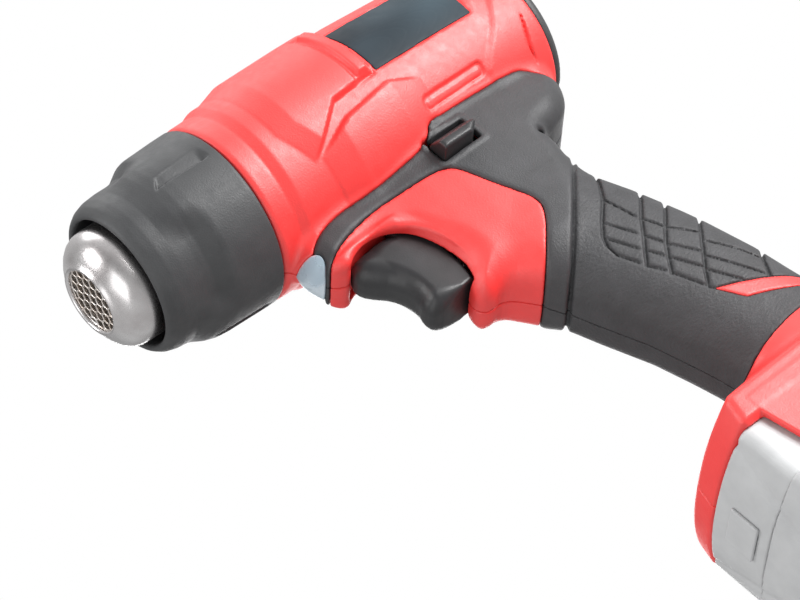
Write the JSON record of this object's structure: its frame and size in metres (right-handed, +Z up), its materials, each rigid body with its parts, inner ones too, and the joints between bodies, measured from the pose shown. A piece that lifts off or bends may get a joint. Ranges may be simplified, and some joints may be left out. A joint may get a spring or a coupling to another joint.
{
  "type": "heat gun",
  "caption": "Cordless pistol-grip heat gun with a round barrel, guarded steel outlet nozzle, finger trigger, push-through lock button and a slide-off battery foot.",
  "frame": {"origin": "middle of the bounding box at the battery's flat bottom", "axes": "+Z up, the nozzle points along -X, +Y is the gun's right side as it is held"},
  "size_m": [0.196, 0.076, 0.2745],
  "materials": {
    "red_shell": "fine moulded texture",
    "charcoal_overmold": "soft touch grain",
    "charcoal_plastic": "fine moulded texture",
    "black_plastic": "satin",
    "stainless": "satin brushed",
    "grille_metal": "heat tinted",
    "mica": "matte",
    "ceramic_former": "matte",
    "heating_wire": "oxidised",
    "motor_steel": "plated",
    "white_nylon": "moulded",
    "board_green": "solder mask",
    "lens_clear": "frosted",
    "copper_alloy": "bright",
    "battery_grey": "fine moulded texture",
    "cell_wrap": "shrink film",
    "spring_steel": "bright",
    "label_slate": "glossy film",
    "screw_steel": "black zinc"
  },
  "bodies": {
    "gun": {"housing_left": "red_shell", "housing_right": "red_shell", "saddle_overmold_left": "charcoal_overmold", "saddle_overmold_right": "charcoal_overmold", "grip_overmold_left": "charcoal_overmold", "grip_overmold_right": "charcoal_overmold", "front_collar": "charcoal_plastic", "outlet_nozzle": "stainless", "outlet_grille": "grille_metal", "heater_tube": "stainless", "mica_sleeve": "mica", "heater_core": "ceramic_former", "heater_coil": "heating_wire", "thermal_fuse": "motor_steel", "fan_shroud": "white_nylon", "motor": "motor_steel", "motor_mount": "white_nylon", "rear_cap": "charcoal_plastic", "intake_screen": "grille_metal", "control_board": "board_green", "switch_module": "black_plastic", "trigger_spring": "spring_steel", "led_board": "board_green", "led_lens": "lens_clear", "terminal_block": "black_plastic", "contact_blades": "copper_alloy", "label_plate_left": "label_slate", "label_plate_right": "label_slate", "housing_screws": "screw_steel"},
    "trigger_unit": {"trigger": "black_plastic", "switch_plunger": "white_nylon"},
    "lock_pin": {"lock_button": "black_plastic"},
    "fan_rotor": {"fan_impeller": "white_nylon", "motor_shaft": "motor_steel"},
    "battery_pack": {"battery_case_upper": "battery_grey", "battery_tray": "battery_grey", "battery_cells": "cell_wrap", "latch_spring": "spring_steel"},
    "battery_release": {"battery_latch": "charcoal_plastic"}
  },
  "joints": [
    {"name": "trigger_pull", "type": "slide", "parent": "gun", "child": "trigger_unit", "axis": [1, 0, 0], "range_m": [0, 0.006], "stiffness_N_per_m": 600, "springref_m": -0.004, "deforming": ["trigger_spring"]},
    {"name": "lock_push", "type": "slide", "parent": "gun", "child": "lock_pin", "axis": [0, 1, 0], "range_m": [0, 0.005]},
    {"name": "fan_spin", "type": "hinge", "parent": "gun", "child": "fan_rotor", "pos_m": [0.011, 0, 0.237], "axis": [1, 0, 0], "continuous": true},
    {"name": "battery_slide", "type": "slide", "parent": "gun", "child": "battery_pack", "axis": [-1, 0, 0], "range_m": [0, 0.1]},
    {"name": "battery_release_press", "type": "slide", "parent": "battery_pack", "child": "battery_release", "axis": [0, 0, -1], "range_m": [0, 0.004], "stiffness_N_per_m": 500, "springref_m": -0.003, "deforming": ["latch_spring"]}
  ]
}
